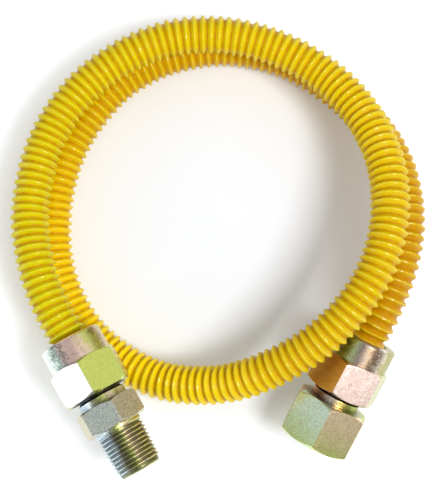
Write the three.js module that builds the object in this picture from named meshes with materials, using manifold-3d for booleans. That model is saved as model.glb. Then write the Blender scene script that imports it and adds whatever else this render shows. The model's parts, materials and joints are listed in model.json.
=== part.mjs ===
import * as THREE from "three";
import { mergeVertices } from "three/addons/utils/BufferGeometryUtils.js";
import Module from "manifold-3d";

// Flexible gas hose: a coated corrugated metal tube lying in one and three quarter turns,
// with a flare nut and an adapter on each end. Millimetres, Z up, floor at z = 0.
// The origin is on the floor, midway between the outer extents of the end fittings.

// Hose
const hoseDiameter = 17.2; // over the ridges
const hoseSides = 12;
const hoseSteps = 76;
const hoseInNut = 6; // how far the ridged tube reaches into its nut
const straightNear = 2; // the route's straight points, outside the nut
const straightFar = 16;

// Flared cuff at each end of the hose
const cuffDiameter = 15.2;
const cuffWall = 1;
const cuffNeck = 3.5; // from the end of the ridges to where the flare opens
const cuffBoreDepth = 7.5; // how far the open bore reaches back from there, into the ridges
const flareDiameter = 21.8;

// Flare nut, the same on both ends
const collarLength = 10.4;
const collarWall = 4.65; // around the hose
const nutHexLength = 15.9;
const nutWall = 2.1; // thread bore to flats, for 28.6 across the flats
const flareThread = 23.8; // major diameter

// Adapters
const gasBore = 12.7;
const noseLand = 0.7; // flat ring at the tip of the flare nose
const threadRelief = 1.3; // the thread ends this far inside the nut
const neckDiameter = 21.3;
const neckVisible = 4.4;
const maleShoulder = 0.8; // flare thread to flats, for 25.4 across the flats
const maleHexLength = 11.3;
const malePipe = 21.3; // pipe thread at its large end
const malePipeLength = 21.1; // with its plain run-out
const pipeTaper = 1 / 32; // on the radius
const femaleHexLength = 20.2;
const socketMouth = 21.2;
const socketDepth = 15.5;
const socketWall = 4.5; // mouth to flats, for 30.2 across the flats

// Fits and edges
const hoseClearance = 0.45; // hose to the nut around it
const hoseEndGap = 0.5; // end of the ridges to the step in the nut
const cuffClearance = 0.35;
const flareClearance = 0.3; // on each side of the flare, square to it
const threadClearance = 0.3;
const edgeBevel = 0.8;
const endBevel = 1;
const hexInset = 0.25; // from the flats to the round edge of a hex's end face
const hexBevelAngle = 30;
const roundSides = 48;

// Where the ends lie: the middle of the nut's rear face, the heading of the outward axis, in
// degrees from -Y towards +X, and how far it dips. Rolls are about it, from a flat on top.
const maleEnd = { x: -63.8, y: 26.1, heading: 29.6, dip: 0 };
const femaleEnd = { x: 63.4, y: 26.7, heading: -27.5, dip: 13 };
const maleHeight = 31.9;
const maleNutRoll = 33;
const maleAdapterRoll = 16;
const femaleNutRoll = -18;
const femaleAdapterRoll = 31.5;

// The hose's route between its straight ends, the upper turn first
const route = [
  [-78.2, 57.1, 31], [-81.7, 81.1, 28.5], [-76.7, 109.6, 26.4], [-63.2, 133.1, 25.8],
  [-43.7, 149.6, 25.8], [-20.7, 159.1, 26], [3.8, 160.1, 26.2], [27.3, 153.6, 26.5],
  [47.3, 141.1, 28], [62.3, 123.1, 33], [70.8, 101.1, 40.5], [71.8, 78.6, 46.4],
  [66.5, 57.1, 49], [55.3, 38.6, 48], [39.8, 23.6, 43], [18.8, 12.1, 34.5],
  [-1.7, 7.1, 24.5], [-24.7, 9.1, 15], [-45.7, 19.6, 9.2], [-62.2, 36.6, 8.65],
  [-72.2, 59.6, 8.65], [-73.7, 85.1, 8.65], [-68.2, 109.6, 8.65], [-57.2, 129.1, 8.65],
  [-42.2, 144.6, 8.65], [-21.7, 155.1, 8.65], [3.3, 159.1, 8.65], [26.8, 154.6, 8.75],
  [45.3, 144.6, 10], [63.3, 128.1, 13.5], [76.3, 105.1, 22.3], [80.3, 80.1, 30.3],
  [77.3, 58.6, 33],
];

// Sizes that follow
const radians = THREE.MathUtils.degToRad;
const sin45 = Math.SQRT1_2;
const hoseRadius = hoseDiameter / 2;
const cuffRadius = cuffDiameter / 2;
const cuffBore = cuffRadius - cuffWall;
const flareRadius = flareDiameter / 2;
const flareLip = flareRadius - cuffWall * sin45;
const flareStart = hoseInNut + cuffNeck;
const cuffFloor = flareStart - cuffBoreDepth;
const threadRadius = flareThread / 2;
const neckRadius = neckDiameter / 2;
const boreRadius = gasBore / 2;
const noseRadius = boreRadius + noseLand;
const nutRearBore = hoseRadius + hoseClearance;
const nutNeckBore = cuffRadius + cuffClearance;
const nutBore = threadRadius + threadClearance;
const nutFlat = nutBore + nutWall;
const nutLength = collarLength + nutHexLength;
const collarRadius = nutRearBore + collarWall;
const hexStart = nutLength + neckVisible;
const maleFlat = threadRadius + maleShoulder;
const maleLength = hexStart + maleHexLength + malePipeLength;
const maleTip = malePipe / 2 - pipeTaper * malePipeLength;
const femaleFlat = socketMouth / 2 + socketWall;
const femaleLength = hexStart + femaleHexLength;
const socketFloor = femaleLength - socketDepth;

// The female end rests on the front of one corner of its hex
const femaleCorner = femaleFlat / Math.cos(Math.PI / 6);
const femaleCutBack = (femaleCorner - femaleFlat + hexInset) * Math.tan(radians(hexBevelAngle));
const femaleHeight = femaleCorner * Math.cos(radians(femaleEnd.dip))
  + (femaleLength - femaleCutBack) * Math.sin(radians(femaleEnd.dip));

// The cones of the flare joint: height above the nut's rear face at a radius
const flareOuter = (r) => flareStart + r - cuffRadius;
const flareInner = (r) => flareOuter(r) + cuffWall / sin45;
const nutSeat = (r) => flareOuter(r) - flareClearance / sin45;
const noseCone = (r) => flareInner(r) + flareClearance / sin45;

const coating = new THREE.MeshStandardMaterial({ color: 0xf0c808, roughness: 0.3, metalness: 0 });
const nutZinc = new THREE.MeshStandardMaterial({ color: 0xc9c79a, roughness: 0.35, metalness: 1 });
const adapterZinc = new THREE.MeshStandardMaterial({ color: 0xa9b292, roughness: 0.4, metalness: 1 });

const wasm = await Module();
wasm.setup();

// A closed mesh as a body that can be joined and cut
function solid(geometry) {
  const bare = geometry.clone();
  bare.deleteAttribute("normal");
  bare.deleteAttribute("uv");
  const merged = mergeVertices(bare, 1e-4);
  const corners = merged.index.array;
  const kept = [];
  for (let i = 0; i < corners.length; i += 3) {
    const [a, b, c] = corners.slice(i, i + 3);
    if (a !== b && b !== c && c !== a) kept.push(a, b, c);
  }
  const vertProperties = new Float32Array(merged.attributes.position.array);
  return new wasm.Manifold(new wasm.Mesh({ numProp: 3, vertProperties, triVerts: new Uint32Array(kept) }));
}

function meshOf(name, body, material) {
  const { vertProperties, triVerts } = body.getMesh();
  const geometry = new THREE.BufferGeometry();
  geometry.setAttribute("position", new THREE.BufferAttribute(new Float32Array(vertProperties), 3));
  geometry.setIndex(new THREE.BufferAttribute(new Uint32Array(triVerts), 1));
  const mesh = new THREE.Mesh(geometry, material);
  mesh.name = name;
  return mesh;
}

// A body turned about Z, from a profile of [radius, height] that starts and ends on the axis
function turned(profile) {
  const points = profile.map(([r, z]) => new THREE.Vector2(r, z));
  return new THREE.LatheGeometry(points, roundSides).rotateX(Math.PI / 2);
}

// A regular outline with its first corner at an angle
function polygon(sides, radius, firstAngle) {
  const corners = Array.from({ length: sides }, (_, i) => {
    const angle = firstAngle + (i * 2 * Math.PI) / sides;
    return new THREE.Vector2(radius * Math.cos(angle), radius * Math.sin(angle));
  });
  return new THREE.Shape(corners);
}

// A hex bar along Z with a flat on top (+Y) and both ends bevelled round
function hexBar(flat, low, high) {
  const corner = flat / Math.cos(Math.PI / 6);
  const outline = polygon(6, corner, 0);
  const bar = new THREE.ExtrudeGeometry(outline, { depth: high - low, bevelEnabled: false });
  const faceRadius = flat - hexInset;
  const outside = corner + hexInset;
  const slope = (outside - faceRadius) * Math.tan(radians(hexBevelAngle));
  const envelope = turned([
    [0, low], [faceRadius, low], [outside, low + slope],
    [outside, high - slope], [faceRadius, high], [0, high],
  ]);
  return solid(bar.translate(0, 0, low)).intersect(solid(envelope));
}

// The flared end of the hose, still filled
function cuff() {
  return turned([
    [0, cuffFloor], [cuffRadius, cuffFloor], [cuffRadius, flareStart],
    [flareRadius, flareOuter(flareRadius)], [flareLip, flareInner(flareLip)],
    [0, flareInner(flareLip)],
  ]);
}

// Its open bore and the cone of the flare
function cuffMouth() {
  return turned([
    [0, cuffFloor], [cuffBore, cuffFloor], [cuffBore, flareInner(cuffBore)],
    [flareRadius, flareInner(flareRadius)], [0, flareInner(flareRadius)],
  ]);
}

function hose(maleGroup, femaleGroup) {
  const along = (group, distance) => new THREE.Vector3(0, 0, distance).applyMatrix4(group.matrix);
  const ends = [hoseInNut, -straightNear, -straightFar];
  const path = new THREE.CatmullRomCurve3([
    ...ends.map((distance) => along(maleGroup, distance)),
    ...route.map((point) => new THREE.Vector3(...point)),
    ...ends.reverse().map((distance) => along(femaleGroup, distance)),
  ], false, "catmullrom", 0.5);
  const section = polygon(hoseSides, hoseRadius, Math.PI / hoseSides);
  const tube = new THREE.ExtrudeGeometry(section, { steps: hoseSteps, extrudePath: path });
  return [maleGroup, femaleGroup].reduce((body, group) => body
    .add(solid(cuff().applyMatrix4(group.matrix)))
    .subtract(solid(cuffMouth().applyMatrix4(group.matrix))), solid(tube));
}

// Flare nut: a round collar around the hose, a neck that holds the flare, a threaded bore
function flareNut() {
  const collar = turned([
    [0, 0], [collarRadius - edgeBevel, 0], [collarRadius, edgeBevel],
    [collarRadius, collarLength + edgeBevel], [0, collarLength + edgeBevel],
  ]);
  const step = hoseInNut + hoseEndGap;
  const past = nutLength + edgeBevel;
  const inside = turned([
    [0, -edgeBevel], [nutRearBore, -edgeBevel], [nutRearBore, step],
    [nutNeckBore, step], [nutNeckBore, nutSeat(nutNeckBore)], [nutBore, nutSeat(nutBore)],
    [nutBore, nutLength - edgeBevel], [nutBore + 2 * edgeBevel, past], [0, past],
  ]);
  return hexBar(nutFlat, collarLength, nutLength).add(solid(collar)).subtract(solid(inside));
}

// The flare nose, thread and neck that both adapters have, up to inside the hex
function flareStub(top) {
  const threadEnd = nutLength - threadRelief;
  const neckStart = threadEnd + threadRadius - neckRadius;
  return turned([
    [0, noseCone(noseRadius)], [noseRadius, noseCone(noseRadius)],
    [threadRadius, noseCone(threadRadius)], [threadRadius, threadEnd],
    [neckRadius, neckStart], [neckRadius, top], [0, top],
  ]);
}

function maleAdapter() {
  const hexEnd = hexStart + maleHexLength;
  const middle = (hexStart + hexEnd) / 2;
  const pipe = turned([
    [0, middle], [malePipe / 2, middle], [malePipe / 2, hexEnd],
    [maleTip + endBevel * pipeTaper, maleLength - endBevel], [maleTip - endBevel, maleLength],
    [0, maleLength],
  ]);
  const bore = turned([
    [0, 0], [boreRadius, 0], [boreRadius, maleLength + endBevel], [0, maleLength + endBevel],
  ]);
  return hexBar(maleFlat, hexStart, hexEnd)
    .add(solid(flareStub(middle)))
    .add(solid(pipe))
    .subtract(solid(bore));
}

function femaleAdapter() {
  const mouth = socketMouth / 2;
  const depth = mouth - pipeTaper * socketDepth;
  const past = femaleLength + endBevel;
  const inside = turned([
    [0, 0], [boreRadius, 0], [boreRadius, socketFloor], [depth, socketFloor],
    [mouth, femaleLength - endBevel], [mouth + 2 * endBevel, past], [0, past],
  ]);
  const middle = (hexStart + socketFloor) / 2;
  return hexBar(femaleFlat, hexStart, femaleLength)
    .add(solid(flareStub(middle)))
    .subtract(solid(inside));
}

// A group whose +Z runs outward along an end's axis and whose +Y is the upward side
function endGroup(end, height) {
  const group = new THREE.Group();
  group.position.set(end.x, end.y, height);
  group.rotation.set(Math.PI / 2 + radians(end.dip), 0, radians(end.heading), "ZXY");
  group.updateMatrix();
  return group;
}

function fitted(group, mesh, roll) {
  mesh.rotation.z = radians(roll);
  group.add(mesh);
}

const part = new THREE.Group();
const maleGroup = endGroup(maleEnd, maleHeight);
const femaleGroup = endGroup(femaleEnd, femaleHeight);
fitted(maleGroup, meshOf("male_end_nut", flareNut(), nutZinc), maleNutRoll);
fitted(maleGroup, meshOf("male_adapter", maleAdapter(), adapterZinc), maleAdapterRoll);
fitted(femaleGroup, meshOf("female_end_nut", flareNut(), nutZinc), femaleNutRoll);
fitted(femaleGroup, meshOf("female_adapter", femaleAdapter(), adapterZinc), femaleAdapterRoll);
part.add(meshOf("hose_tube", hose(maleGroup, femaleGroup), coating), maleGroup, femaleGroup);

export default part;
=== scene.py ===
import json
import math
import random

import bpy
from mathutils import Matrix, Vector


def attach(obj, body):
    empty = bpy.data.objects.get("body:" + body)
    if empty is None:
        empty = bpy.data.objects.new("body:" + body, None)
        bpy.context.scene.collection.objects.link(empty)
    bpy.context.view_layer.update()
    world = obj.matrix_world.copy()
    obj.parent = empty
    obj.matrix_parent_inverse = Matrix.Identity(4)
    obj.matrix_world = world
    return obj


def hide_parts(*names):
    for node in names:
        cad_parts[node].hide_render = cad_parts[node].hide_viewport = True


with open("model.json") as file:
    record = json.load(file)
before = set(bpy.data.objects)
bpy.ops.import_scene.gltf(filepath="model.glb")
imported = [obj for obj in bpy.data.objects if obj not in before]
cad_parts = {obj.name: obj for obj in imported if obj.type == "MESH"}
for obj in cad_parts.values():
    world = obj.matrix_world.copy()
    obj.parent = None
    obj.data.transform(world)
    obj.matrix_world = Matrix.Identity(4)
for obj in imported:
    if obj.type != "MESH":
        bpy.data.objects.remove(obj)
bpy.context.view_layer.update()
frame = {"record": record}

# A coated corrugated gas hose with a flare nut and an adapter on each end.
# Everything is in metres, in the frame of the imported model. mm makes metres of millimetres.
mm = 0.001
random.seed(7)

# Camera: looking down on the coil, a little from the front
CAMERA_TARGET = Vector((-0.9, 70.1, 12.0)) * mm
CAMERA_DISTANCE = 650 * mm
CAMERA_ELEVATION = math.radians(83)
CAMERA_LENS = 121.8
SENSOR_WIDTH = 36
COIL_CENTRE = Vector((0, 80, 0)) * mm  # on the floor

# Hose
HOSE_DIAMETER = 17.2 * mm  # over the ridges
GROOVE_DEPTH = 1.85 * mm
RIDGE_PITCH = 3.75 * mm
RIDGE_STRETCH = 0.05  # the ridges stand closer by this share at the male end, wider at the other
RIDGE_POWER = 0.78  # 1 is a round wave, 0.5 has sharp crests
RIDGE_HEIGHTS = (0.93, 1.0)  # the lowest and the highest ridge, as shares of the depth
RIDGE_SHIFT = 0.05  # the most that one crest wanders, as a share of the pitch
RIDGE_LEAN = 0.28 * mm  # the most that one ridge leans along the hose
RIDGE_RINGS = 8
HOSE_SIDES = 40
ROUTE_STEPS = 60  # points on the centreline for each stretch of the route
HOSE_IN_NUT = 6 * mm
STRAIGHT_NEAR = 2 * mm  # the route's straight points, outside the nut
STRAIGHT_FAR = 16 * mm
HOSE_ROUTE = [  # millimetres, between the straight points of the two ends
    (-78.2, 57.1, 31), (-81.7, 81.1, 28.5), (-76.7, 109.6, 26.4), (-63.2, 133.1, 25.8),
    (-43.7, 149.6, 25.8), (-20.7, 159.1, 26), (3.8, 160.1, 26.2), (27.3, 153.6, 26.5),
    (47.3, 141.1, 28), (62.3, 123.1, 33), (70.8, 101.1, 40.5), (71.8, 78.6, 46.4),
    (66.5, 57.1, 49), (55.3, 38.6, 48), (39.8, 23.6, 43), (18.8, 12.1, 34.5),
    (-1.7, 7.1, 24.5), (-24.7, 9.1, 15), (-45.7, 19.6, 9.2), (-62.2, 36.6, 8.65),
    (-72.2, 59.6, 8.65), (-73.7, 85.1, 8.65), (-68.2, 109.6, 8.65), (-57.2, 129.1, 8.65),
    (-42.2, 144.6, 8.65), (-21.7, 155.1, 8.65), (3.3, 159.1, 8.65), (26.8, 154.6, 8.75),
    (45.3, 144.6, 10), (63.3, 128.1, 13.5), (76.3, 105.1, 22.3), (80.3, 80.1, 30.3),
    (77.3, 58.6, 33),
]

# Flared cuff on each end of the hose
CUFF_RADIUS = 7.6 * mm
CUFF_WALL = 1.0 * mm
FLARE_RADIUS = 10.9 * mm
FLARE_START = 9.5 * mm
CUFF_BORE_DEPTH = 7.5 * mm

# Flare nut: heights from its rear face
COLLAR_RADIUS = 13.7 * mm
COLLAR_LENGTH = 10.4 * mm
NUT_LENGTH = 26.3 * mm
NUT_FLAT = 14.3 * mm
NUT_REAR_BORE = 9.05 * mm
NUT_REAR_DEPTH = 6.5 * mm
NUT_NECK_BORE = 7.95 * mm
NUT_BORE = 12.2 * mm

# Adapters: heights from the nut's rear face
GAS_BORE = 6.35 * mm
NOSE_RADIUS = 7.05 * mm
FLARE_THREAD = 11.9 * mm  # radius over its crests
FLARE_THREAD_START = 15.6 * mm
FLARE_THREAD_END = 25.0 * mm
FLARE_PITCH = 1.5875 * mm
FLARE_DEPTH = 0.9 * mm
NECK_RADIUS = 10.65 * mm
RELIEF_RADIUS = 9.7 * mm  # the undercut between the flare thread and the neck
RELIEF_END = 27.3 * mm
HEX_START = 30.7 * mm
MALE_FLAT = 12.7 * mm
MALE_HEX_END = 42.0 * mm
PIPE_RADIUS = 10.65 * mm  # crests of the pipe thread at its large end
PIPE_TAPER = 1 / 32
PIPE_PITCH = 1.814 * mm
PIPE_DEPTH = 1.16 * mm
PIPE_RUN_OUT = 2.1 * mm
MALE_END = 63.1 * mm
FEMALE_FLAT = 15.1 * mm
FEMALE_END = 50.9 * mm
SOCKET_FLOOR = 35.4 * mm
SOCKET_RADIUS = 10.6 * mm

# Fits and edges
CONE_GAP = 0.42 * mm  # along the axis, on each side of the flare
HEX_INSET = 0.25 * mm
HEX_SLOPE = math.tan(math.radians(30))
CORNER_ROUND = 0.45 * mm
FLAT_STEPS = 14
CORNER_STEPS = 4
FILLET_STEPS = 3
FILLET_SHARE = 0.42  # the most that a fillet takes of the edge beside it
THREAD_STEPS = 72  # around one turn
THREAD_FADE = 0.6  # of a turn, at each end of a thread
ROOT_SHADE = 0.72  # how dark the thread roots are, 0 to 1
FLAT_SPREAD = 0.3  # share of its own width over which a flat's tint changes
FLAT_HOLD = 0.18  # share of a flat's width, at each side, where its tint meets the next

# Rolls about each axis, from a flat on top
MALE_NUT_ROLL = 33
MALE_ADAPTER_ROLL = 16
FEMALE_NUT_ROLL = -18
FEMALE_ADAPTER_ROLL = 31.5

# Floor. The camera sees a glow on it that grows with the distance from the coil's centre
FLOOR_REACH = 6.0
FLOOR_TINT = (244, 248, 255)
COIL_GLOW = 0.07
OUTER_GLOW = 0.34
OUTER_FROM = 82 * mm
OUTER_TO = 100 * mm
FAR_GLOW = 0.35
FAR_FROM = 0.3
FAR_TO = 2.5

# Lamps: name, azimuth, elevation, size, power, colour. Azimuth 0 is the photographer's
# side and 90 is +X
LAMP_DISTANCE = 1.6
LAMPS = [
    ("key", 60, 62, 0.5, 15.5, (1.0, 0.99, 0.98)),
    ("fill", -65, 20, 0.7, 3.5, (0.97, 0.99, 1.0)),
    ("side", 125, 39, 1.2, 1.8, (1, 1, 1)),
    ("left", -85, 45, 1.3, 1.2, (1, 1, 1)),
]
WORLD_COLOUR = (0.97, 0.985, 1.0, 1)
WORLD_STRENGTH = 0.43


def srgb(red, green, blue):
    """A colour given as 0 to 255, as Blender's linear values."""
    def linear(value):
        value /= 255
        return value / 12.92 if value <= 0.04045 else ((value + 0.055) / 1.055) ** 2.4
    return (linear(red), linear(green), linear(blue), 1.0)


def joint(name):
    return next(j for j in frame["record"]["behaviour"]["joints"] if j["name"] == name)


def end_matrix(turn, travel):
    """The frame of one end: +Z outward along its axis from the nut's rear face, +Y upward."""
    origin = Vector(joint(turn)["pos_m"])
    outward = Vector(joint(travel)["axis"]).normalized()
    side = Vector((-outward.y, outward.x, 0)).normalized()
    matrix = Matrix((side, outward.cross(side), outward)).transposed().to_4x4()
    matrix.translation = origin
    return matrix


MALE = end_matrix("male_nut_turn", "male_adapter_travel")
FEMALE = end_matrix("female_nut_turn", "female_adapter_travel")


def mesh_object(name, points, faces, material, attributes):
    """A smooth mesh in the scene. attributes are (name, value of each point) pairs."""
    mesh = bpy.data.meshes.new(name)
    mesh.from_pydata(points, [], faces)
    for label, values in attributes:
        layer = mesh.attributes.new(label, "FLOAT", "POINT")
        layer.data.foreach_set("value", values)
    mesh.shade_smooth()
    mesh.materials.append(material)
    mesh.update()
    piece = bpy.data.objects.new(name, mesh)
    bpy.context.scene.collection.objects.link(piece)
    return piece


# Materials

def node_material(name):
    material = bpy.data.materials.new(name)
    material.use_nodes = True
    tree = material.node_tree
    return material, tree, tree.nodes["Principled BSDF"]


def noise(tree, source, scale, detail, roughness=0.55):
    node = tree.nodes.new("ShaderNodeTexNoise")
    node.inputs["Scale"].default_value = scale
    node.inputs["Detail"].default_value = detail
    node.inputs["Roughness"].default_value = roughness
    tree.links.new(source, node.inputs["Vector"])
    return node.outputs["Fac"]


def math_node(tree, operation, first, second=0.0, third=0.0):
    node = tree.nodes.new("ShaderNodeMath")
    node.operation = operation
    for socket, value in zip(node.inputs, (first, second, third)):
        if isinstance(value, (int, float)):
            socket.default_value = value
        else:
            tree.links.new(value, socket)
    return node.outputs[0]


def map_range(tree, value, low, high, to_low=0.0, to_high=1.0):
    node = tree.nodes.new("ShaderNodeMapRange")
    for socket, number in zip(list(node.inputs)[1:5], (low, high, to_low, to_high)):
        socket.default_value = number
    tree.links.new(value, node.inputs["Value"])
    return node.outputs["Result"]


def mix(tree, factor, first, second, blend="MIX"):
    node = tree.nodes.new("ShaderNodeMix")
    node.data_type = "RGBA"
    node.blend_type = blend
    for name, value in (("Factor", factor), ("A", first), ("B", second)):
        socket = next(s for s in node.inputs if s.name == name and s.enabled)
        if isinstance(value, (int, float, tuple)):
            socket.default_value = value
        else:
            tree.links.new(value, socket)
    return next(s for s in node.outputs if s.enabled)


def ramp(tree, factor, stops):
    """A colour ramp of (place, tint), with tints given as 0 to 255."""
    node = tree.nodes.new("ShaderNodeValToRGB")
    elements = node.color_ramp.elements
    while len(elements) < len(stops):
        elements.new(0.5)
    for element, (place, tint) in zip(elements, stops):
        element.position = place
        element.color = srgb(*tint)
    tree.links.new(factor, node.inputs["Fac"])
    return node.outputs["Color"]


def bump(tree, height, strength, distance):
    node = tree.nodes.new("ShaderNodeBump")
    node.inputs["Strength"].default_value = strength
    node.inputs["Distance"].default_value = distance
    tree.links.new(height, node.inputs["Height"])
    return node.outputs["Normal"]


def attribute(tree, name):
    node = tree.nodes.new("ShaderNodeAttribute")
    node.attribute_name = name
    return node.outputs["Fac"]


def object_place(tree):
    return tree.nodes.new("ShaderNodeTexCoord").outputs["Object"]


def coating_material():
    """Bonded yellow coating: light yellow ridges, deep orange painted shade in the grooves, pale
    painted highlights on the glossy crests.
    """
    material, tree, shader = node_material("yellow_coating")
    place = object_place(tree)
    groove = attribute(tree, "groove")
    drift = math_node(tree, "MULTIPLY", noise(tree, place, 26, 2), 0.1)
    along = math_node(tree, "MULTIPLY_ADD", attribute(tree, "along"), 0.9, drift)
    # Painted light and shade along the hose: each stretch is lighter or darker, yellower or more
    # orange, as light falls on it. The lower turn is darker and more orange where the upper turn
    # shades it.
    lit_and_shaded_yellow = ramp(tree, along, [
        (0.06, (221, 213, 6)), (0.27, (238, 210, 5)), (0.38, (228, 198, 4)),
        (0.46, (224, 192, 4)), (0.53, (255, 226, 4)), (0.58, (255, 224, 4)),
        (0.62, (246, 210, 4)), (0.68, (230, 196, 4)), (0.78, (222, 174, 4)),
        (0.92, (208, 158, 4)),
    ])
    groove_shade_amber = srgb(192, 126, 0)
    crest_highlight_yellow = srgb(255, 236, 30)
    deep_yellow = srgb(222, 170, 0)

    # Painted shade in the grooves: a deep orange mixed in where the corrugations are deep, its
    # edge jittered by noise.
    groove_shade_jitter = math_node(tree, "MULTIPLY", noise(tree, place, 420, 3), 0.3)
    depth = map_range(tree, math_node(tree, "ADD", groove, groove_shade_jitter), 0.82, 1.2)
    colour = mix(tree, math_node(tree, "MULTIPLY", depth, 0.95), lit_and_shaded_yellow, groove_shade_amber)
    mottle = map_range(tree, noise(tree, place, 520, 3), 0.4, 0.75)
    colour = mix(tree, math_node(tree, "MULTIPLY", mottle, 0.2), colour, deep_yellow)
    # Painted highlight: a pale yellow line along the ridge crests, in patches.
    edge = map_range(tree, groove, 0.0, 0.3, 1.0, 0.0)
    pale = map_range(tree, noise(tree, place, 640, 2), 0.35, 0.6, 0.1, 0.6)
    colour = mix(tree, math_node(tree, "MULTIPLY", edge, pale), colour, crest_highlight_yellow)
    tree.links.new(colour, shader.inputs["Base Color"])

    gloss = map_range(tree, noise(tree, place, 300, 2), 0.3, 0.7, 0.3, 0.45)
    tree.links.new(gloss, shader.inputs["Roughness"])
    ripple = math_node(tree, "ADD", noise(tree, place, 450, 2), noise(tree, place, 1500, 2))
    tree.links.new(bump(tree, ripple, 0.35, 0.25 * mm), shader.inputs["Normal"])

    crest = map_range(tree, groove, 0.2, 0.8, 1.0, 0.0)
    wet = map_range(tree, noise(tree, place, 380, 2), 0.4, 0.62, 0.15, 1.0)
    grazing = tree.nodes.new("ShaderNodeLayerWeight")
    flat_on = math_node(tree, "SUBTRACT", 1.0, grazing.outputs["Facing"])
    wet = math_node(tree, "MULTIPLY", wet, flat_on)
    tree.links.new(math_node(tree, "MULTIPLY", crest, wet), shader.inputs["Coat Weight"])
    shader.inputs["Coat Roughness"].default_value = 0.09
    shader.inputs["Coat IOR"].default_value = 1.65
    shader.inputs["Specular IOR Level"].default_value = 0.1
    return material


def flat_stops(tints):
    """Ramp stops that hold one tint on each of the six flats."""
    stops = []
    for flat, tint in enumerate(tints):
        stops += [((flat + FLAT_HOLD) / 6, tint), ((flat + 1 - FLAT_HOLD) / 6, tint)]
    return stops


def zinc_material(name, flats, turned, tip_tint, speck_tint, roughness, bumps):
    """Zinc with an iridescent passivation: tints round the piece, part hue and part painted
    reflection, one at its tip, and specks.
    """
    material, tree, shader = node_material(name)
    place = object_place(tree)
    drift = math_node(tree, "SUBTRACT", noise(tree, place, 110, 2), 0.5)
    fine = math_node(tree, "SUBTRACT", noise(tree, place, 1300, 3, 0.7), 0.5)
    shift = math_node(tree, "MULTIPLY_ADD", drift, 0.1, math_node(tree, "MULTIPLY", fine, 0.16))
    around = attribute(tree, "around")
    turned_place = math_node(tree, "FRACT", math_node(tree, "ADD", around, shift))
    flat_place = math_node(tree, "MULTIPLY_ADD", shift, 0.4, around)
    colour = mix(
        tree, attribute(tree, "turned"), ramp(tree, flat_place, flat_stops(flats)),
        ramp(tree, turned_place, turned),
    )
    tip = math_node(tree, "MULTIPLY_ADD", shift, 4.0, attribute(tree, "axial"))
    colour = mix(tree, map_range(tree, tip, 0.35, 1.0, 0.0, 0.75), colour, srgb(*tip_tint))
    specks = map_range(tree, noise(tree, place, 1700, 2, 0.7), 0.42, 0.64)
    specked = mix(tree, 1.0, colour, srgb(*speck_tint), "MULTIPLY")
    colour = mix(tree, specks, colour, specked)
    shade = map_range(tree, attribute(tree, "shade"), 0, 1, 1, 0.1)
    colour = mix(tree, 1.0, colour, shade, "MULTIPLY")
    tree.links.new(colour, shader.inputs["Base Color"])
    shader.inputs["Metallic"].default_value = 1.0
    matt = map_range(tree, noise(tree, place, 700, 3), 0.3, 0.7, roughness, roughness + 0.1)
    tree.links.new(matt, shader.inputs["Roughness"])
    pits = noise(tree, place, 1100, 2)
    tree.links.new(bump(tree, pits, bumps, 0.06 * mm), shader.inputs["Normal"])
    return material


# The four zinc materials: tints of the six flats, then (place, tint) round the turned faces,
# both from a corner of the hex. The tints mix the passivation's hues with painted reflections:
# lighter and darker flats, and dark and bright bands round the turned faces, stand in for
# the surroundings mirrored in the metal. The second flat is on top before the piece is rolled

def male_nut_zinc():
    return zinc_material(
        "male_nut_zinc",
        [(222, 232, 122), (250, 242, 238), (226, 216, 176), (206, 216, 160),
         (236, 220, 206), (220, 224, 164)],
        # Painted reflections: the dark and the near-white bands here stand in for the surroundings
        # mirrored in the turned metal.
        [(0.0, (150, 126, 84)), (0.03, (212, 218, 116)), (0.08, (226, 222, 140)),
         (0.12, (255, 222, 204)), (0.18, (250, 216, 204)), (0.22, (140, 134, 130)),
         (0.26, (90, 110, 104)), (0.3, (230, 240, 232)), (0.35, (250, 253, 248)),
         (0.4, (150, 176, 160)), (0.6, (222, 206, 168)), (0.78, (196, 186, 206)),
         (0.92, (206, 216, 146)), (0.98, (232, 204, 176)), (1.0, (150, 126, 84))],
        tip_tint=(226, 230, 150), speck_tint=(232, 234, 226), roughness=0.24, bumps=0.06,
    )


def female_nut_zinc():
    return zinc_material(
        "female_nut_zinc",
        [(206, 212, 160), (250, 230, 220), (226, 190, 130), (206, 216, 160),
         (236, 220, 206), (220, 224, 164)],
        # Painted reflections: the dark and the near-white bands here stand in for the surroundings
        # mirrored in the turned metal.
        [(0.0, (196, 200, 140)), (0.08, (170, 176, 110)), (0.15, (186, 182, 130)),
         (0.19, (250, 244, 224)), (0.22, (140, 112, 84)), (0.26, (200, 182, 150)),
         (0.3, (166, 152, 150)), (0.34, (196, 216, 160)), (0.38, (130, 144, 100)),
         (0.43, (186, 206, 170)), (0.5, (120, 116, 80)), (0.62, (222, 206, 168)),
         (0.78, (196, 186, 206)), (0.92, (206, 216, 146)), (1.0, (196, 200, 140))],
        tip_tint=(226, 230, 150), speck_tint=(236, 214, 206), roughness=0.27, bumps=0.015,
    )


def male_adapter_zinc():
    return zinc_material(
        "male_adapter_zinc",
        [(236, 234, 208), (216, 226, 212), (214, 206, 168), (206, 212, 150),
         (226, 206, 176), (204, 218, 146)],
        # Painted reflections: the dark and the near-white bands here stand in for the surroundings
        # mirrored in the turned metal.
        [(0.0, (226, 220, 150)), (0.1, (246, 238, 156)), (0.16, (246, 226, 190)),
         (0.2, (220, 234, 130)), (0.25, (168, 160, 130)), (0.3, (218, 238, 240)),
         (0.38, (206, 228, 234)), (0.48, (184, 208, 190)), (0.62, (206, 204, 130)),
         (0.8, (190, 196, 166)), (1.0, (214, 204, 130))],
        tip_tint=(222, 226, 150), speck_tint=(200, 194, 204), roughness=0.27, bumps=0.12,
    )


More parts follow.
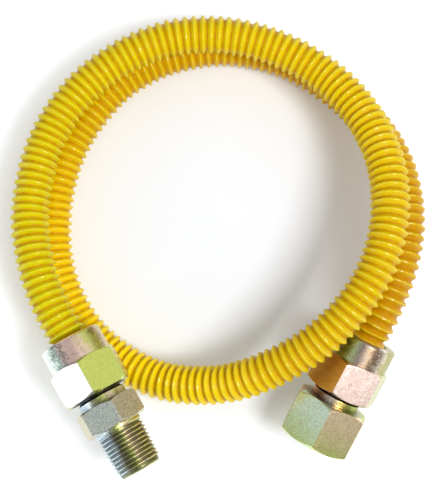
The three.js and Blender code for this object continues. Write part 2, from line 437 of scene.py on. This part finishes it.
def female_adapter_zinc():
    return zinc_material(
        "female_adapter_zinc",
        [(246, 232, 190), (224, 255, 232), (226, 206, 150), (206, 212, 150),
         (226, 206, 176), (204, 218, 146)],
        # Painted reflections: the dark and the near-white bands here stand in for the surroundings
        # mirrored in the turned metal.
        [(0.0, (170, 186, 100)), (0.08, (186, 200, 104)), (0.14, (236, 216, 120)),
         (0.2, (240, 236, 226)), (0.25, (150, 120, 110)), (0.29, (156, 150, 186)),
         (0.33, (120, 86, 60)), (0.38, (232, 176, 112)), (0.48, (184, 198, 160)),
         (0.62, (206, 204, 130)), (0.8, (190, 196, 166)), (1.0, (170, 186, 100))],
        tip_tint=(200, 222, 120), speck_tint=(236, 208, 200), roughness=0.28, bumps=0.1,
    )


def floor_material():
    """A pale matt floor that keeps its shadows, and looks brighter away from the coil."""
    material, tree, shader = node_material("floor")
    shader.inputs["Base Color"].default_value = srgb(*FLOOR_TINT)
    shader.inputs["Roughness"].default_value = 0.9
    shader.inputs["Specular IOR Level"].default_value = 0.1
    rays = tree.nodes.new("ShaderNodeLightPath")
    seen = math_node(tree, "MAXIMUM", rays.outputs["Is Camera Ray"], rays.outputs["Is Glossy Ray"])
    seen = math_node(tree, "MAXIMUM", seen, rays.outputs["Is Transmission Ray"])
    away = tree.nodes.new("ShaderNodeVectorMath")
    away.operation = "DISTANCE"
    away.inputs[1].default_value = COIL_CENTRE
    tree.links.new(object_place(tree), away.inputs[0])
    distance = away.outputs["Value"]
    near = map_range(tree, distance, OUTER_FROM, OUTER_TO, COIL_GLOW, OUTER_GLOW)
    far = map_range(tree, distance, FAR_FROM, FAR_TO, 0.0, FAR_GLOW)
    light = math_node(tree, "ADD", near, far)
    shader.inputs["Emission Color"].default_value = (1, 1, 1, 1)
    tree.links.new(math_node(tree, "MULTIPLY", seen, light), shader.inputs["Emission Strength"])
    return material


# Camera

def add_camera():
    data = bpy.data.cameras.new("camera")
    data.lens = CAMERA_LENS
    data.sensor_width = SENSOR_WIDTH
    data.sensor_fit = "HORIZONTAL"
    camera = bpy.data.objects.new("camera", data)
    bpy.context.scene.collection.objects.link(camera)
    back = Vector((0, -math.cos(CAMERA_ELEVATION), math.sin(CAMERA_ELEVATION)))
    camera.location = CAMERA_TARGET + back * CAMERA_DISTANCE
    camera.rotation_euler = (-back).to_track_quat("-Z", "Y").to_euler()
    bpy.context.scene.camera = camera


# Hose

def along_axis(end, distance):
    return end @ Vector((0, 0, distance))


def curve_points(knots, steps):
    """Points of the smooth curve through the knots (uniform Catmull-Rom, tension one half)."""
    knots = [2 * knots[0] - knots[1], *knots, 2 * knots[-1] - knots[-2]]
    points = []
    for a, b, c, d in zip(knots, knots[1:], knots[2:], knots[3:]):
        for i in range(steps):
            t = i / steps
            points.append(0.5 * (
                2 * b + (c - a) * t + (2 * a - 5 * b + 4 * c - d) * t * t
                + (3 * b - a - 3 * c + d) * t ** 3
            ))
    points.append(knots[-2])
    return points


class Centreline:
    """The hose's centreline, measured along its length, with a frame that doesn't twist."""

    def __init__(self, knots, outward_start, outward_end):
        self.points = curve_points(knots, ROUTE_STEPS)
        self.distances = [0.0]
        for a, b in zip(self.points, self.points[1:]):
            self.distances.append(self.distances[-1] + (b - a).length)
        self.length = self.distances[-1]
        self.tangents = [
            (b - a).normalized()
            for a, b in zip([self.points[0], *self.points], [*self.points[1:], self.points[-1]])
        ]
        self.tangents[0] = -outward_start
        self.tangents[-1] = outward_end
        side = self.tangents[0].cross(Vector((0, 0, 1))).normalized()
        self.sides = []
        for tangent in self.tangents:
            side = (side - tangent * side.dot(tangent)).normalized()
            self.sides.append(side)
        self.index = 0

    def frame_at(self, distance):
        """Point, tangent and side at a distance, straight on past both ends."""
        inside = min(max(distance, 0.0), self.length)
        while self.index > 0 and self.distances[self.index] > inside:
            self.index -= 1
        while self.index < len(self.points) - 2 and self.distances[self.index + 1] < inside:
            self.index += 1
        i = self.index
        share = (inside - self.distances[i]) / (self.distances[i + 1] - self.distances[i])
        point = self.points[i].lerp(self.points[i + 1], share)
        tangent = self.tangents[i].lerp(self.tangents[i + 1], share).normalized()
        side = self.sides[i].lerp(self.sides[i + 1], share)
        side = (side - tangent * side.dot(tangent)).normalized()
        return point + tangent * (distance - inside), tangent, side


def hose_centreline():
    ends = [HOSE_IN_NUT, -STRAIGHT_NEAR, -STRAIGHT_FAR]
    knots = [along_axis(MALE, d) for d in ends]
    knots += [Vector(point) * mm for point in HOSE_ROUTE]
    knots += [along_axis(FEMALE, d) for d in reversed(ends)]
    return Centreline(knots, MALE.col[2].to_3d(), FEMALE.col[2].to_3d())


def flare_outer(radius):
    return FLARE_START + radius - CUFF_RADIUS


def flare_inner(radius):
    return flare_outer(radius) + CUFF_WALL / math.sin(math.radians(45))


def cuff_rows():
    """(height from the nut's rear face, radius) from the open bore's floor round to the ridges."""
    bore = CUFF_RADIUS - CUFF_WALL
    lip = FLARE_RADIUS - CUFF_WALL * math.sin(math.radians(45))
    floor = FLARE_START - CUFF_BORE_DEPTH
    wide = 0.3 * mm
    narrow = 0.2 * mm
    rise = 0.25 * mm
    return [
        (floor, bore), (flare_inner(bore) - wide, bore),
        (flare_inner(bore) + narrow, bore + rise), (flare_inner(lip), lip),
        (flare_outer(FLARE_RADIUS), FLARE_RADIUS), (FLARE_START + wide, CUFF_RADIUS + rise),
        (FLARE_START - narrow, CUFF_RADIUS), (HOSE_IN_NUT, CUFF_RADIUS),
    ]


def ridge_rows(length):
    """(distance, radius, groove, lean) of every ring of the corrugations, each ridge its own."""
    count = round(length / RIDGE_PITCH)
    rows = []
    for ridge in range(count):
        height = GROOVE_DEPTH * random.uniform(*RIDGE_HEIGHTS)
        shift = random.uniform(-RIDGE_SHIFT, RIDGE_SHIFT)
        turn = random.uniform(0, 2 * math.pi)
        lean = Vector((math.cos(turn), math.sin(turn))) * random.uniform(0, RIDGE_LEAN)
        for ring in range(RIDGE_RINGS):
            place = ring / RIDGE_RINGS
            depth = (math.cos(math.pi * place) ** 2) ** RIDGE_POWER
            crest = HOSE_DIAMETER / 2 - (GROOVE_DEPTH - height) * (1 - depth)
            share = (ridge + place + shift * (1 - depth)) / count
            share -= RIDGE_STRETCH * share * (1 - share)
            rows.append((share * length, crest - height * depth, depth, lean * (1 - depth)))
    return rows


def make_hose(line, material):
    upright = Vector((0, 0))
    cuff = [(HOSE_IN_NUT - z, r, 0.0, upright) for z, r in cuff_rows()]
    rows = cuff + ridge_rows(line.length)
    rows += [(line.length - distance, *rest) for distance, *rest in reversed(cuff)]
    points = []
    groove = []
    along = []
    for distance, radius, depth, lean in rows:
        centre, tangent, side = line.frame_at(distance)
        up = side.cross(tangent)
        for k in range(HOSE_SIDES):
            angle = 2 * math.pi * k / HOSE_SIDES
            around = Vector((math.cos(angle), math.sin(angle)))
            outward = side * around.x + up * around.y
            points.append(centre + outward * radius + tangent * around.dot(lean))
            groove.append(depth)
            along.append(distance / line.length)
    faces = []
    for row in range(len(rows) - 1):
        for k in range(HOSE_SIDES):
            a = row * HOSE_SIDES + k
            b = row * HOSE_SIDES + (k + 1) % HOSE_SIDES
            faces.append((a, b, b + HOSE_SIDES, a + HOSE_SIDES))
    last = (len(rows) - 1) * HOSE_SIDES
    faces.append(tuple(reversed(range(HOSE_SIDES))))
    faces.append(tuple(range(last, last + HOSE_SIDES)))
    return mesh_object(
        "convoluted_hose", points, faces, material, [("groove", groove), ("along", along)]
    )


# Turned and hexagonal metal

def hex_columns():
    """Angles around a hex, from the middle of each flat, with more of them at the corners."""
    half = math.radians(30)
    edge = math.radians(28.6)
    flat = [-edge + 2 * edge * i / FLAT_STEPS for i in range(FLAT_STEPS + 1)]
    corner = [edge + 2 * (half - edge) * i / CORNER_STEPS for i in range(1, CORNER_STEPS)]
    return [
        angle + side * 2 * half + half for side in range(6) for angle in flat + corner
    ]


COLUMNS = hex_columns()


def hex_radius(flat, angle):
    """The radius of a hex with a flat on +Y and rounded corners, at an angle."""
    half = math.radians(30)
    to_corner = abs((angle + half) % (2 * half) - half)
    centre = (flat - CORNER_ROUND) / math.cos(half)
    sine = centre * math.sin(to_corner)
    plain = flat / math.cos(half - to_corner)
    if sine >= CORNER_ROUND:
        return plain
    rounded = centre * math.cos(to_corner) + math.sqrt(CORNER_ROUND ** 2 - sine ** 2)
    return min(plain, rounded)


def hex_rows(flat, low, high, fillet):
    """A function from an angle to the profile of a hex bar whose ends are bevelled round."""
    face = flat - HEX_INSET

    def profile(angle):
        radius = hex_radius(flat, angle)
        drop = (radius - face) * HEX_SLOPE
        return [
            (face, low, fillet), (radius, low + drop, fillet),
            (radius, high - drop, fillet), (face, high, fillet),
        ]

    return profile


def fillet_corners(profile):
    """Rounds each corner of a closed profile of (radius, height, fillet), as (corner, point)."""
    rounded = []
    count = len(profile)
    for i in range(count):
        r, z, fillet = profile[i][:3]
        here = Vector((r, z))
        before = Vector(profile[i - 1][:2]) - here
        after = Vector(profile[(i + 1) % count][:2]) - here
        if fillet <= 0 or before.length < 1e-9 or after.length < 1e-9:
            rounded.append((i, here))
            continue
        reach = min(fillet, FILLET_SHARE * before.length, FILLET_SHARE * after.length)
        start = here + before.normalized() * reach
        end = here + after.normalized() * reach
        for step in range(FILLET_STEPS + 1):
            t = step / FILLET_STEPS
            rounded.append((i, start * (1 - t) ** 2 + here * 2 * t * (1 - t) + end * t ** 2))
    return rounded


def profile_at(parts, angle):
    """One closed profile, and for each of its corners whether it is turned and how shaded."""
    profile = []
    turned = []
    shade = []
    for part in parts:
        rows = part(angle) if callable(part) else [part]
        profile += rows
        turned += [0.0 if callable(part) else 1.0] * len(rows)
        shade += [row[3] if len(row) > 3 else 0.0 for row in rows]
    return profile, turned, shade


def tint_angle(angle, turned):
    """Where a point stands around its piece, 0 to 1. Each flat keeps near its own middle."""
    share = (angle / (2 * math.pi)) % 1
    middle = (math.floor(share * 6 + 1e-6) + 0.5) / 6
    return share if turned else middle + (share - middle) * FLAT_SPREAD


def ring_body(name, parts, end, roll, tips, material):
    """A closed ring turned about an end's axis, from profile rows and hex profiles in turn."""
    turn = end @ Matrix.Rotation(math.radians(roll), 4, "Z")
    layers = {"around": [], "turned": [], "axial": [], "shade": []}
    points = []
    for angle in COLUMNS:
        profile, turned, shade = profile_at(parts, angle)
        column = fillet_corners(profile)
        for corner, (r, z) in column:
            points.append(turn @ Vector((r * math.cos(angle), r * math.sin(angle), z)))
            layers["around"].append(tint_angle(angle, turned[corner]))
            layers["turned"].append(turned[corner])
            layers["axial"].append((z - tips[0]) / (tips[1] - tips[0]))
            layers["shade"].append(shade[corner])
    rows = len(column)
    faces = []
    for c in range(len(COLUMNS)):
        d = (c + 1) % len(COLUMNS)
        for k in range(rows):
            m = (k + 1) % rows
            faces.append((c * rows + k, d * rows + k, d * rows + m, c * rows + m))
    piece = mesh_object(name, points, faces, material, layers.items())
    weighted = piece.modifiers.new("weighted_normals", "WEIGHTED_NORMAL")
    weighted.mode = "FACE_AREA"
    weighted.keep_sharp = False
    return piece


def thread(name, end, roll, start, stop, pitch, depth, crest, material, inward=False):
    """A helical ridge from start to stop, fading at both ends, on a rod or in a bore.

    crest is a function from a height to the radius of the ridge's top.
    """
    turn = end @ Matrix.Rotation(math.radians(roll), 4, "Z")
    sign = -1 if inward else 1
    turns = (stop - start) / pitch
    count = int(turns * THREAD_STEPS)
    base = 0.46 * pitch
    top = 0.07 * pitch
    sink = 0.12 * depth
    section = [(-base, 0.0), (-top, 1.0), (top, 1.0), (base, 0.0)]
    points = []
    layers = {"around": [], "turned": [], "axial": [], "shade": []}
    for i in range(count + 1):
        share = i / THREAD_STEPS
        z = start + share * pitch
        fade = min(1.0, share / THREAD_FADE, (turns - share) / THREAD_FADE)
        angle = 2 * math.pi * share
        for shift, height in section:
            raised = (depth + sink) * height * fade
            r = crest(z + shift) - sign * (depth + sink) + sign * raised
            points.append(turn @ Vector((r * math.cos(angle), r * math.sin(angle), z + shift)))
            layers["around"].append((angle / (2 * math.pi)) % 1)
            layers["turned"].append(1.0)
            layers["axial"].append(0.0)
            layers["shade"].append(ROOT_SHADE * (1 - height))
    width = len(section)
    faces = []
    for i in range(count):
        for k in range(width):
            a = i * width + k
            b = i * width + (k + 1) % width
            face = (a, b, b + width, a + width)
            faces.append(face if inward else tuple(reversed(face)))
    caps = [tuple(range(width)), tuple(reversed(range(count * width, (count + 1) * width)))]
    faces += [tuple(reversed(cap)) for cap in caps] if inward else caps
    return mesh_object(name, points, faces, material, layers.items())


def make_nut(name, end, roll, material):
    """A flare nut. Profile rows here and below are (radius, height, fillet, shade)."""
    seat = flare_outer(NUT_NECK_BORE) - CONE_GAP
    seat_end = flare_outer(NUT_BORE) - CONE_GAP
    edge = 0.8 * mm
    bevel = 0.4 * mm
    small = 0.3 * mm
    fine = 0.1 * mm
    parts = [
        (NUT_REAR_BORE + bevel, 0, fine), (COLLAR_RADIUS - edge, 0, small),
        (COLLAR_RADIUS, edge, small), (COLLAR_RADIUS, COLLAR_LENGTH, fine),
        hex_rows(NUT_FLAT, COLLAR_LENGTH, NUT_LENGTH, small),
        (NUT_BORE + edge, NUT_LENGTH, fine, 0.4), (NUT_BORE, NUT_LENGTH - edge, fine, 1),
        (NUT_BORE, seat_end, 2 * fine, 1), (NUT_NECK_BORE, seat, 2 * fine, 1),
        (NUT_NECK_BORE, NUT_REAR_DEPTH, fine, 1),
        (NUT_REAR_BORE, NUT_REAR_DEPTH, fine, 1), (NUT_REAR_BORE, bevel, fine, 0.7),
    ]
    return ring_body(name, parts, end, roll, (NUT_LENGTH, 3 * NUT_LENGTH), material)


def stub_parts():
    """The bore, nose, thread root and neck that both adapters have, up to the hex."""
    root = FLARE_THREAD - FLARE_DEPTH
    nose = flare_inner(NOSE_RADIUS) + CONE_GAP
    nose_end = flare_inner(root) + CONE_GAP
    slope = 0.9 * mm
    small = 0.3 * mm
    fine = 0.2 * mm
    return [
        (GAS_BORE, nose, fine), (NOSE_RADIUS, nose, fine), (root, nose_end, fine),
        (root, FLARE_THREAD_END, fine, 0.6), (RELIEF_RADIUS, FLARE_THREAD_END + slope, small, 1),
        (RELIEF_RADIUS, RELIEF_END, small, 1), (NECK_RADIUS, RELIEF_END + 0.5 * mm, fine),
        (NECK_RADIUS, HEX_START, 0.15 * mm, 0.5),
    ]


def pipe_crest(z):
    return PIPE_RADIUS - (z - MALE_HEX_END) * PIPE_TAPER


def make_male_adapter(name, end, roll, material):
    small = 0.3 * mm
    fine = 0.2 * mm
    bevel = 0.5 * mm
    slope = 0.9 * mm
    shank = PIPE_RADIUS - fine
    root_start = MALE_HEX_END + PIPE_RUN_OUT
    tip = pipe_crest(MALE_END) - PIPE_DEPTH
    parts = stub_parts() + [
        hex_rows(MALE_FLAT, HEX_START, MALE_HEX_END, small),
        (shank, MALE_HEX_END, fine), (shank, root_start - slope, 2 * fine),
        (pipe_crest(root_start) - PIPE_DEPTH, root_start + small, fine, ROOT_SHADE),
        (tip + 0.1 * mm, MALE_END - slope, fine, ROOT_SHADE), (tip - 0.6 * mm, MALE_END, fine),
        (GAS_BORE + bevel, MALE_END, fine), (GAS_BORE, MALE_END - bevel, fine),
    ]
    return ring_body(name, parts, end, roll, (HEX_START, MALE_END), material)


def make_female_adapter(name, end, roll, material):
    bevel = 1.0 * mm
    fine = 0.2 * mm
    floor_radius = SOCKET_RADIUS - PIPE_TAPER * (FEMALE_END - SOCKET_FLOOR)
    parts = stub_parts() + [
        hex_rows(FEMALE_FLAT, HEX_START, FEMALE_END, 0.35 * mm),
        (SOCKET_RADIUS + bevel, FEMALE_END, fine), (SOCKET_RADIUS, FEMALE_END - bevel, fine),
        (floor_radius, SOCKET_FLOOR, 0.4 * mm, 0.6), (GAS_BORE, SOCKET_FLOOR, 0.3 * mm, 0.8),
    ]
    return ring_body(name, parts, end, roll, (HEX_START, FEMALE_END), material)


def dress_end(prefix, end, nut_roll, adapter_roll, nut_zinc, adapter_zinc, make_adapter):
    """The nut and the adapter of one end, the adapter with its flare thread, on their bodies."""
    nut = make_nut(f"{prefix}_flare_nut", end, nut_roll, nut_zinc)
    nut_body = f"{prefix}_nut"
    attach(nut, nut_body)
    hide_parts(f"{prefix}_end_nut")

    adapter = make_adapter(f"{prefix}_pipe_adapter", end, adapter_roll, adapter_zinc)
    adapter_body = f"{prefix}_fitting"
    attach(adapter, adapter_body)
    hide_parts(f"{prefix}_adapter")

    stop = FLARE_THREAD_END - 0.2 * mm
    flare = thread(
        f"{prefix}_flare_thread", end, adapter_roll, FLARE_THREAD_START, stop,
        FLARE_PITCH, FLARE_DEPTH, lambda z: FLARE_THREAD, adapter_zinc,
    )
    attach(flare, adapter_body)
    return nut, adapter, flare


def make_male_thread(end, roll, material):
    start = MALE_HEX_END + PIPE_RUN_OUT - 0.3 * mm
    stop = MALE_END - 1.6 * mm
    piece = thread(
        "male_pipe_thread", end, roll, start, stop, PIPE_PITCH, PIPE_DEPTH, pipe_crest,
        material,
    )
    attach(piece, "male_fitting")


def make_female_thread(end, roll, material):
    def crest(z):
        return SOCKET_RADIUS - PIPE_TAPER * (FEMALE_END - z) - PIPE_DEPTH

    start = SOCKET_FLOOR + 1.8 * mm
    stop = FEMALE_END - 0.8 * mm
    depth = 0.95 * PIPE_DEPTH
    piece = thread(
        "female_socket_thread", end, roll, start, stop, PIPE_PITCH, depth, crest, material,
        inward=True,
    )
    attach(piece, "female_fitting")


# Floor and lights

def add_floor():
    signs = [(-1, -1), (1, -1), (1, 1), (-1, 1)]
    corners = [(x * FLOOR_REACH, y * FLOOR_REACH, 0) for x, y in signs]
    mesh = bpy.data.meshes.new("floor")
    mesh.from_pydata(corners, [], [(0, 1, 2, 3)])
    mesh.materials.append(floor_material())
    floor = bpy.data.objects.new("floor", mesh)
    bpy.context.scene.collection.objects.link(floor)


def add_lamp(name, azimuth, elevation, size, power, colour):
    """A square soft lamp that faces the coil."""
    data = bpy.data.lights.new(name, "AREA")
    data.shape = "SQUARE"
    data.size = size
    data.energy = power
    data.color = colour
    lamp = bpy.data.objects.new(name, data)
    bpy.context.scene.collection.objects.link(lamp)
    a = math.radians(azimuth)
    e = math.radians(elevation)
    away = Vector((math.sin(a) * math.cos(e), -math.cos(a) * math.cos(e), math.sin(e)))
    lamp.location = CAMERA_TARGET + away * LAMP_DISTANCE
    lamp.rotation_euler = (-away).to_track_quat("-Z", "Y").to_euler()


def add_world():
    world = bpy.data.worlds.new("world")
    bpy.context.scene.world = world
    world.use_nodes = True
    background = world.node_tree.nodes["Background"]
    background.inputs["Color"].default_value = WORLD_COLOUR
    background.inputs["Strength"].default_value = WORLD_STRENGTH


# Making

bpy.context.scene.view_settings.view_transform = "Standard"
add_camera()

line = hose_centreline()
hose = make_hose(line, coating_material())
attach(hose, "hose")
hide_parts("hose_tube")

male_zinc = male_adapter_zinc()
female_zinc = female_adapter_zinc()
dress_end(
    "male", MALE, MALE_NUT_ROLL, MALE_ADAPTER_ROLL, male_nut_zinc(), male_zinc,
    make_male_adapter,
)
female_pieces = dress_end(
    "female", FEMALE, FEMALE_NUT_ROLL, FEMALE_ADAPTER_ROLL, female_nut_zinc(), female_zinc,
    make_female_adapter,
)
make_male_thread(MALE, MALE_ADAPTER_ROLL, male_zinc)
make_female_thread(FEMALE, FEMALE_ADAPTER_ROLL, female_zinc)

add_floor()
for lamp in LAMPS:
    add_lamp(*lamp)
add_world()
